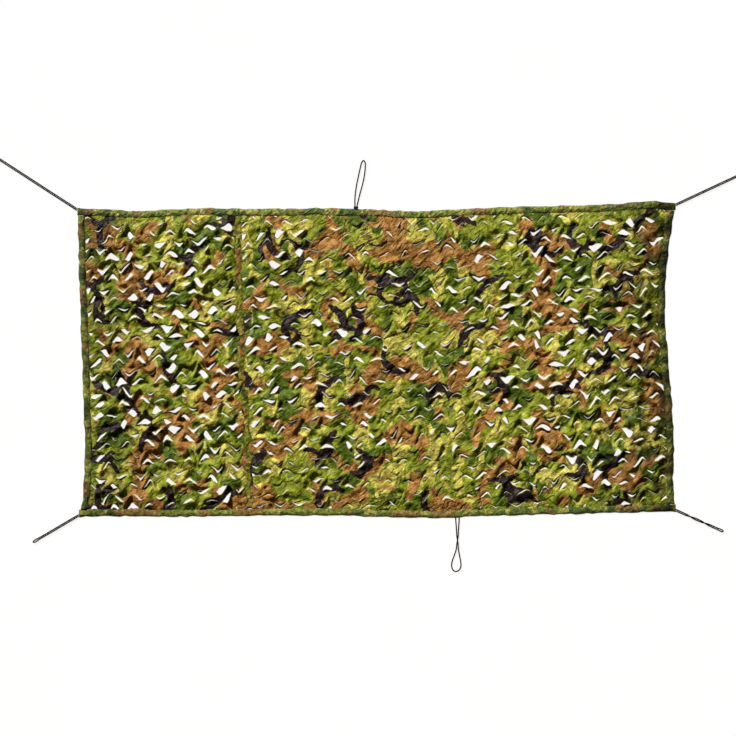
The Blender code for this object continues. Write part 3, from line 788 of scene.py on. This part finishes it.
def drawn_cuts(rng, first, rows, columns, sizes):
    """What each leaf cut has of its own: eight values, each an array of rows by columns.

    A mouth is as wide as gives its cell that place's open share, times exp(spread * n) with
    n a normal draw, over the mean of that.
    """
    draw = rng.random((8, rows, columns))
    r, k = np.mgrid[0:rows, 0:columns]
    r, k = r + first[0], k + first[1]
    k = k + ODD_SHIFT * (r % 2)
    x, y = (k * along + r * down for along, down in zip(LEAF_PITCH, ROW_STEP))
    opened = eased(OPEN_ALONG, x / MM) * eased(OPEN_ACROSS, y / MM)
    cell_area = abs(LEAF_PITCH[0] * ROW_STEP[1] - LEAF_PITCH[1] * ROW_STEP[0])
    one_wing = draw[5] < ONE_WING_SHARE
    side = np.where(draw[5] < ONE_WING_SHARE / 2, -1, 1)
    aside = np.where(one_wing, side * between(CUT_ASIDE[0], draw[2]), between(CUT_ASIDE[1], draw[2]))
    span = np.where(one_wing, between(CUT_SPAN[0], draw[1] ** 2), between(CUT_SPAN[1], draw[1]))
    half = sizes.cut_half_span * span
    normal = np.sqrt(-2 * np.log(draw[0] + 1e-9)) * np.cos(2 * np.pi * draw[4])
    wide = np.exp(MOUTH_SPREAD * normal) / math.exp(MOUTH_SPREAD ** 2 / 2)
    mouth = MOUTH_OPEN * opened * cell_area / (half * LEAF_PITCH[0] * MOUTH_AREA) * wide
    mouth = np.clip(mouth - MOUTH_CLOSED, *MOUTH_LIMITS)
    lean = rng.random((rows, columns))
    lean = np.where(one_wing, -side * between(CUT_LEAN[0], lean), between(CUT_LEAN[1], lean))
    # Each leaf's painted light: how much paler it is painted, as if it lies back to the light.
    tone = between(LEAF_LIGHT, rng.random((rows, columns)))
    lift = between(LEAF_LIFT, draw[3]) * np.clip(LIFT_CLOSED + mouth / LIFT_MOUTH, 0, LIFT_MOST)
    leaf_deep, back_deep = draw[6] ** PAINTED_SHADE_RARE[0], draw[7] ** PAINTED_SHADE_RARE[1]
    return np.stack([aside, half, mouth, lean, tone, sizes.leaf_lift * lift, leaf_deep, back_deep])


def beside_cuts(cuts, first, U, row, d, below):
    """What the cuts on a row line do to points d rows away from it, above it or below it.

    With x from -1 to 1 along a cut, its opening has the form q = (1 - |x|^blunt)(1 + skew x).
    A point moves by share * mouth * q * (1 - d)^2.6 away from the cut, and a leaf's tip lifts by
    lift * q * (1 - d / reach)^1.8.  The values are the shift, the rise, the painted shade, the
    painted light and shade of leaf and cloth, whether the line is parted there, and how wide it gapes.
    """
    odd = row % 2
    k = np.round(U - ODD_SHIFT * odd)
    k_index = np.clip((k - first[1]).astype(int), 0, cuts.shape[2] - 1)
    own = cuts[:, (row - first[0]).astype(int), k_index]
    aside, half, mouth, lean, tone, lift, leaf_deep, back_deep = own
    x = (U - k - ODD_SHIFT * odd - aside) / half
    blunt = np.where(x * lean > 0, 1 + LEAN_BLUNT * np.abs(lean), 1.0)
    q = np.clip(1 - np.abs(x) ** blunt, 0, 1) * (1 + LEAN_SKEW * lean * x)
    leaf = (odd == 0) == below
    near, tip = np.clip(1 - d, 0, 1), np.clip(1 - d / TIP_REACH, 0, 1)
    share = np.where(leaf, LEAF_SHARE, 1 - LEAF_SHARE)
    shift = share * mouth * q * near ** SHIFT_FALL * (-1 if below else 1)
    rise = lift * q * np.where(leaf, tip ** TIP_FALL, -DIP_SHARE * near ** DIP_FALL)
    # Painted shade beside the cut, where the cloth is tucked under.
    painted_shade = np.where(leaf, leaf_deep, back_deep) * np.clip(1.25 - x * x, 0, 1)
    painted_shade = painted_shade * np.clip(1 - d / PAINTED_SHADE_REACH, 0, 1)
    # Painted light: the leaf is painted paler and the cloth across its cut darker, as if lit and shaded.
    leaf_light = np.where(leaf, tone, -BACK_SHADE * tone) * np.clip(1.3 - np.abs(x), 0, 1)
    leaf_light = leaf_light * np.clip(1 - d / LEAF_LIGHT_REACH, 0, 1)
    return shift, rise, painted_shade, leaf_light, np.abs(x) < 1 - 1e-6, mouth * q


def cloth_height(x, gap, slack_form, relief, rise):
    """Height of the cloth: swells, creases and folds, and leaf tips, all held down at the hem.

    It is eased by middle + reach * tanh((z - middle) / ease), so that nothing stands out of it.
    Whole cloth lies flatter than cloth whose cuts stand open.
    """
    hold = np.clip(gap / HEM_HOLD, 0, 1)
    slack = np.clip(eased(OPEN_ALONG, x / MM) / SLACK_OPEN, *SLACK_LIMITS)
    z = Z_HEM + Z_INSIDE * hold + relief + between((0.25, 1.0), hold) * slack * slack_form
    z = z + between((0.3, 1.0), hold) * np.where(gap > 0, rise, 0)
    z = Z_MIDDLE + Z_REACH * np.tanh((z - Z_MIDDLE) / Z_EASE)
    return np.where(gap < 0, Z_HEM, z)


def leaf_cloth(name, left_line, right_line, material, sizes, seed):
    """One width of leaf-cut cloth.

    A flat grid of pitch and row steps is swung to and fro along each row, by
    y += wave * (cos(2 pi u) + 0.1 cos(6 pi u)), and warped by smooth noise of two sizes.  It is
    parted along every row line where the swing peaks, on even rows at its crests and on odd
    rows at its troughs, by giving the points there a double on the lower side.
    """
    rng = np.random.default_rng(seed)

    def edges(x, y):
        """Where the cloth ends inside the binding beside each point: west, east, south and north."""
        return (
            beside(left_line, y) - HEM_TUCK, beside(right_line, y) + HEM_TUCK,
            across(BOTTOM_IN, x) - HEM_TUCK, across(TOP_IN, x) + HEM_TUCK,
        )

    def from_edges(x, y):
        """How far each point lies inside the binding's inner line."""
        left, right, low, high = edges(x, y)
        return np.minimum.reduce([x - left, right - x, y - low, high - y]) - HEM_TUCK

    box_x = (left_line[:, 0].min() - 0.02, right_line[:, 0].max() + 0.02)
    corners = np.array([(x, y) for x in box_x for y in (BOTTOM_IN[:, 1].min(), TOP_IN[:, 1].max())])
    uv_corners = np.linalg.solve(np.column_stack([LEAF_PITCH, ROW_STEP]), corners.T).T
    u_low, v_low = np.floor(uv_corners.min(0)).astype(int) - 1
    u_high, v_high = np.ceil(uv_corners.max(0)).astype(int) + 1
    U, V = np.meshgrid(np.arange(u_low * PITCH_CELLS, u_high * PITCH_CELLS + 1) / PITCH_CELLS,
                       np.arange(v_low * ROW_CELLS, v_high * ROW_CELLS + 1) / ROW_CELLS)
    first = (v_low - 1, u_low - 1)
    cuts = drawn_cuts(rng, first, v_high - v_low + 3, u_high - u_low + 3, sizes)

    # Points on a row line count as the lower end of the band above it.
    row = np.ceil(V - 1e-9) - 1
    shift_a, rise_a, painted_shade_a, leaf_light_a, *_ = beside_cuts(cuts, first, U, row, V - row, True)
    shift_b, rise_b, painted_shade_b, leaf_light_b, parted, gape = beside_cuts(cuts, first, U, row + 1, row + 1 - V, False)
    shift, rise, painted_shade = shift_a + shift_b, rise_a + rise_b, np.maximum(painted_shade_a, painted_shade_b)

    flat_x, flat_y = (U * along + V * down for along, down in zip(LEAF_PITCH, ROW_STEP))
    swing = np.cos(2 * np.pi * U) + SWING_THIRD * np.cos(6 * np.pi * U)
    uneven = between(SWING_UNEVEN, grain(flat_x, flat_y, SWING_PATCH, 11))
    flat_y = flat_y + sizes.leaf_wave * swing * uneven
    x, y = flat_x, flat_y
    for i, (reach, size_x, size_y) in enumerate(WARPS):
        x = x + reach * (grain(flat_x, flat_y, size_x, 7 + 2 * i) - 0.5)
        y = y + reach * (grain(flat_x, flat_y, size_y, 8 + 2 * i) - 0.5)

    # No cut parts the cloth under the binding, where a scrap would come loose.
    cut = parted & (from_edges(x, y) > 0) & (np.abs(V - np.round(V)) < 1e-9)
    doubles = beside_cuts(cuts, first, U[cut], np.round(V[cut]), np.zeros(cut.sum()), True)
    upper = np.arange(U.size).reshape(U.shape)
    lower = upper.copy()
    lower[cut] = U.size + np.arange(cut.sum())
    faces = np.stack([lower[:-1, :-1], upper[1:, :-1], upper[1:, 1:], lower[:-1, 1:]], -1).reshape(-1, 4)

    U, V, flat_x, flat_y, x, y = (np.append(a, a[cut]) for a in (U, V, flat_x, flat_y, x, y))
    leaf_light = np.where(cut, leaf_light_b, leaf_light_a + leaf_light_b)
    shift, rise, painted_shade, leaf_light = (np.append(a, b) for a, b in zip((shift, rise, painted_shade, leaf_light), doubles))
    bare = np.clip(LIP_CLOSED + gape[cut] / LIP_GAPE, 0, 1)
    lip = np.zeros(cut.shape)
    lip[cut] = bare
    lip = np.append(lip, bare)

    # Points past the cloth's ends are drawn back to them.
    y = y + shift
    left, right, low, high = edges(x, y)
    faces = faces[~((x < left) | (x > right) | (y < low) | (y > high))[faces].all(axis=1)]
    gap = from_edges(x, y)
    x, y = np.clip(x, left, right), np.clip(y, low, high)
    rough = creases(flat_x, flat_y, sizes.crumple) + folds(U, V, sizes.fold, rng)
    z = cloth_height(x, gap, rough, swell(x, y, gap, sizes.relief), rise)

    used, faces = np.unique(faces, return_inverse=True)
    points, uv = np.column_stack([x, y, z])[used], np.column_stack([flat_x, flat_y])[used]
    # Painted shade also darkens the cloth towards the net's ends.
    painted_shade = np.maximum(painted_shade[used], end_shade(*points[:, :2].T))
    marks = {"lip": lip[used], "painted_shade": painted_shade, "tone": leaf_light[used], "branch": branch_distance(*uv.T, SEED)}
    cloth = mesh_piece(name, points, faces.reshape(-1, 4), material, uv, marks)
    wall = cloth.modifiers.new("wall", "SOLIDIFY")
    wall.thickness = sizes.cloth_wall
    wall.offset = 0
    return cloth


class NET_OT_cloth(bpy.types.Operator):
    """Add the two widths of leaf-cut cloth"""

    bl_idname = "net.cloth"
    bl_label = "Leaf-cut cloth"

    def execute(self, context):
        sizes, colours = context.scene.net_sizes, context.scene.net_colours
        material = printed_cloth("printed_cloth", colours, colours.join, 0.0, (0.60, 1.28), 33.0)
        widths = {
            "left": (LEFT_IN, BAND_LEFT, (0.77, 1.50), SEED),
            "right": (BAND_RIGHT, RIGHT_IN, (2.15, 1.50), SEED + 1),
        }
        for side, (left_line, right_line, flat, seed) in widths.items():
            cloth = leaf_cloth(f"leaf_cloth_{side}", left_line, right_line, material, sizes, seed)
            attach(cloth, "root")
            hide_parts(f"cloth_{side}")
        return {"FINISHED"}


# ======== Binding and join band ========

# The strips' inner and outer edges.
STRIPS = {
    "binding_top": (TOP_IN, TOP_OUT),
    "binding_bottom": (BOTTOM_IN, BOTTOM_OUT),
    "binding_left": (LEFT_IN, LEFT_OUT),
    "binding_right": (RIGHT_IN, RIGHT_OUT),
    "join_band": (BAND_LEFT, BAND_RIGHT),
}
# How high each kind of strip is crowned, how much of that its puckers take, and how far across
# it its rows of stitches run.
BINDING = (0.0068, 0.30, (0.14,))
BAND = (0.0036, 0.9, (0.12, 0.88))
# Height of a strip's sides and underside, how round its top is, and its fine roughness.
STRIP_SIDE = 0.0018
STRIP_UNDER = 0.0004
STRIP_ROUND = 0.55
STRIP_ROUGH = 0.0012
# A stitch's length, width and thickness, and its bead as shares of half of them.
STITCH_SIZE = (0.0046, 0.0013, 0.0009)
STITCH_BEAD = np.array((
    (-1, 0, -0.6), (-0.6, -1, 0), (-0.6, 0, 1), (-0.6, 1, 0), (-0.6, 0, -1),
    (0.6, -1, 0), (0.6, 0, 1), (0.6, 1, 0), (0.6, 0, -1), (1, 0, -0.6),
))
STITCH_FACES = (
    (0, 1, 2), (0, 2, 3), (0, 3, 4), (0, 4, 1), (1, 5, 6, 2), (2, 6, 7, 3), (3, 7, 8, 4),
    (4, 8, 5, 1), (9, 6, 5), (9, 7, 6), (9, 8, 7), (9, 5, 8),
)


def strip_height(length, c, crown, pucker, seed):
    """Height of a strip's upper side: crown * sin(pi c)^0.55 at share c of the way across, puckered."""
    rough = grain(length + 3.0 * seed, c * 0.04 + 0.3 * seed, 0.022, 60) - 0.5
    broad = grain(length + 5.0 * seed, c * 0.02, 0.075, 61) - 0.5
    rise = np.clip(np.sin(np.pi * np.clip(c, 0.0, 1.0)), 0, 1) ** STRIP_ROUND
    return STRIP_SIDE + crown * rise * (1 + pucker * (1.5 * rough + 1.1 * broad)) + STRIP_ROUGH * rough


def stitch_row(inner, outer, crown, pucker, seed, share, pitch):
    """Points, faces and UVs of a row of stitches along a strip, at one share of the way across.

    A stitch is a long bead: two tips and two square rings between them, laid on the strip.
    """
    count = round(measured(outer)[-1] / pitch)
    a, b = evenly(inner, count), evenly(outer, count)
    length = measured(b)[:, None]
    high = strip_height(length, np.full_like(length, share), crown, pucker, seed)
    middle = np.column_stack([a + (b - a) * share, high + STITCH_SIZE[2] / 2])
    ahead = np.gradient(b, axis=0)
    ahead = np.column_stack([ahead / np.linalg.norm(ahead, axis=1, keepdims=True), np.zeros(count)])
    aside = np.column_stack([-ahead[:, 1], ahead[:, 0], np.zeros(count)])
    bead = STITCH_BEAD * np.array(STITCH_SIZE) / 2
    points = (middle[:, None] + bead[None, :, :1] * ahead[:, None] + bead[None, :, 1:2] * aside[:, None]
              + bead[None, :, 2:] * (0, 0, 1))
    starts = np.arange(count) * len(STITCH_BEAD)
    faces = [tuple(start + i for i in face) for start in starts for face in STITCH_FACES]
    return points.reshape(-1, 3), faces, np.repeat(length, len(STITCH_BEAD), 1).reshape(-1, 1) * (1, 0)


def strip_skin(inner, outer, crown, pucker, seed, step=0.008, around=20):
    """Points, faces and UVs of a sewn strip between two edge lines: puckered above, flat below."""
    count = max(8, round(np.linalg.norm(outer[-1] - outer[0]) / step))
    a, b = evenly(inner, count), evenly(outer, count)
    length = measured(b)[:, None]
    half = around // 2
    c = np.concatenate([np.linspace(0, 1, half), np.linspace(1, 0, around - half + 2)[1:-1]])[None, :]
    top = (np.arange(c.shape[1]) < half)[None, :]
    width = np.linalg.norm(b - a, axis=1)[:, None]
    z = np.where(top, strip_height(length, c, crown, pucker, seed), STRIP_UNDER)
    wobble = (0.005 + 0.018 * pucker ** 2) * (grain(length + seed, c * 0.03, 0.028, 62) - 0.5)
    place = a[:, None] + (b - a)[:, None] * (c + wobble / width)[..., None]
    points = np.concatenate([place, z[..., None]], -1)
    ring = c.shape[1]
    faces = [tuple(f) for f in grid_faces(count, ring, close=True)]
    last = (count - 1) * ring
    faces += [tuple(range(ring - 1, -1, -1)), tuple(range(last, last + ring))]
    uv = np.stack([np.broadcast_to(length, z.shape), np.broadcast_to(c, z.shape) * width], -1)
    return points.reshape(-1, 3), faces, uv.reshape(-1, 2)


class NET_OT_binding(bpy.types.Operator):
    """Add the binding round the cloth and the band over its join"""

    bl_idname = "net.binding"
    bl_label = "Binding and join band"

    def execute(self, context):
        sizes, colours = context.scene.net_sizes, context.scene.net_colours
        bound = printed_cloth("binding_cloth", colours, colours.binding, 0.34, (0.42, 1.12), 62.0)
        joined = printed_cloth("join_cloth", colours, colours.join, 0.30, (0.30, 1.20), 40.0)
        rows = []
        for seed, (node, (inner, outer)) in enumerate(STRIPS.items()):
            material, (crown, pucker, seams) = (joined, BAND) if node == "join_band" else (bound, BINDING)
            points, faces, uv = strip_skin(inner, outer, crown, pucker, seed)
            rows += [stitch_row(inner, outer, crown, pucker, seed, share, sizes.stitch_pitch)
                     for share in seams]
            # Each strip is cut from its own stretch of the cloth, and no branch crosses it.
            # Painted shade darkens the strips towards the net's ends.
            strip = mesh_piece(f"sewn_{node}", points, faces, material, uv + (5.0 * seed, 3.0),
                               {"branch": np.ones(len(points)), "painted_shade": end_shade(*points[:, :2].T)})
            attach(strip, "root")
            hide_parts(node)
        points, faces, uv = join_parts(rows)
        stitches = mesh_piece("stitches", points, faces, sewing_thread(colours), uv)
        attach(stitches, "root")
        return {"FINISHED"}


# ======== Stage ========

# The width and the centre of what the camera sees on the floor, metres, and its lens, mm.
FRAME_WIDTH = 3.702
FRAME_CENTRE = (-0.0428, -0.0415)
LENS = 100.0
SENSOR = 36.0
# A low sun over the far left, and a faint warm sky.
SUN_ENERGY = 10.0
SUN_ANGLE = 5
SUN_TURN = (-46, -47, 0)
SKY = (1.0, 0.90, 0.62, 1.0)
SKY_STRENGTH = 0.10
# The floor lies just under the solids, and glows.
FLOOR_HALF = 9
FLOOR_HEIGHT = -0.0006
FLOOR_GLOW = (1.0, 0.975, 0.972, 1.0)
FLOOR_GLOW_STRENGTH = 0.90


class NET_OT_stage(bpy.types.Operator):
    """Add the camera, the lights and the pale floor"""

    bl_idname = "net.stage"
    bl_label = "Camera, light and floor"

    def execute(self, context):
        scene = context.scene
        camera_data = bpy.data.cameras.new("camera")
        camera_data.lens = LENS
        camera_data.sensor_width = SENSOR
        camera = bpy.data.objects.new("camera", camera_data)
        camera.location = (*FRAME_CENTRE, FRAME_WIDTH * LENS / SENSOR)
        scene.collection.objects.link(camera)
        scene.camera = camera
        scene.view_settings.view_transform = "Standard"

        key_data = bpy.data.lights.new("key", "SUN")
        key_data.energy = SUN_ENERGY
        key_data.angle = math.radians(SUN_ANGLE)
        key = bpy.data.objects.new("key", key_data)
        key.rotation_euler = [math.radians(turn) for turn in SUN_TURN]
        scene.collection.objects.link(key)

        world = bpy.data.worlds.new("studio")
        world.use_nodes = True
        sky = world.node_tree.nodes["Background"]
        sky.inputs["Color"].default_value = SKY
        sky.inputs["Strength"].default_value = SKY_STRENGTH
        scene.world = world

        # A back-lit white table: it glows, so that the net hardly throws a shadow on it.
        surface, shader = matt_table("floor", scene.net_colours)
        shader.inputs["Emission Color"].default_value = FLOOR_GLOW
        shader.inputs["Emission Strength"].default_value = FLOOR_GLOW_STRENGTH
        corners = [(x * FLOOR_HALF, y * FLOOR_HALF, FLOOR_HEIGHT)
                   for x, y in ((-1, -1), (1, -1), (1, 1), (-1, 1))]
        floor = mesh_piece("floor", corners, [(0, 1, 2, 3)], surface, smooth=False)
        return {"FINISHED"}


class NET_PT_panel(bpy.types.Panel):
    """Steps and settings of the net"""

    bl_idname = "NET_PT_panel"
    bl_label = "Camouflage net"
    bl_space_type = "VIEW_3D"
    bl_region_type = "UI"
    bl_category = "Net"

    def draw(self, context):
        for step in STEPS:
            self.layout.operator(step.bl_idname)
        for group in (context.scene.net_sizes, context.scene.net_colours):
            box = self.layout.box()
            for key in group.__annotations__:
                box.prop(group, key)


STEPS = (NET_OT_stage, NET_OT_cords, NET_OT_cloth, NET_OT_binding)
CLASSES = (NetSizes, NetColours, *STEPS, NET_PT_panel)


def register():
    """Add the classes, and the sizes and colours to the scene."""
    for cls in CLASSES:
        bpy.utils.register_class(cls)
    bpy.types.Scene.net_sizes = PointerProperty(type=NetSizes)
    bpy.types.Scene.net_colours = PointerProperty(type=NetColours)


def unregister():
    """Take them off again."""
    del bpy.types.Scene.net_colours
    del bpy.types.Scene.net_sizes
    for cls in reversed(CLASSES):
        bpy.utils.unregister_class(cls)


def main():
    """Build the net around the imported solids."""
    register()
    bpy.ops.net.stage()
    bpy.ops.net.cords()
    bpy.ops.net.cloth()
    bpy.ops.net.binding()


if __name__ == "__main__":
    main()
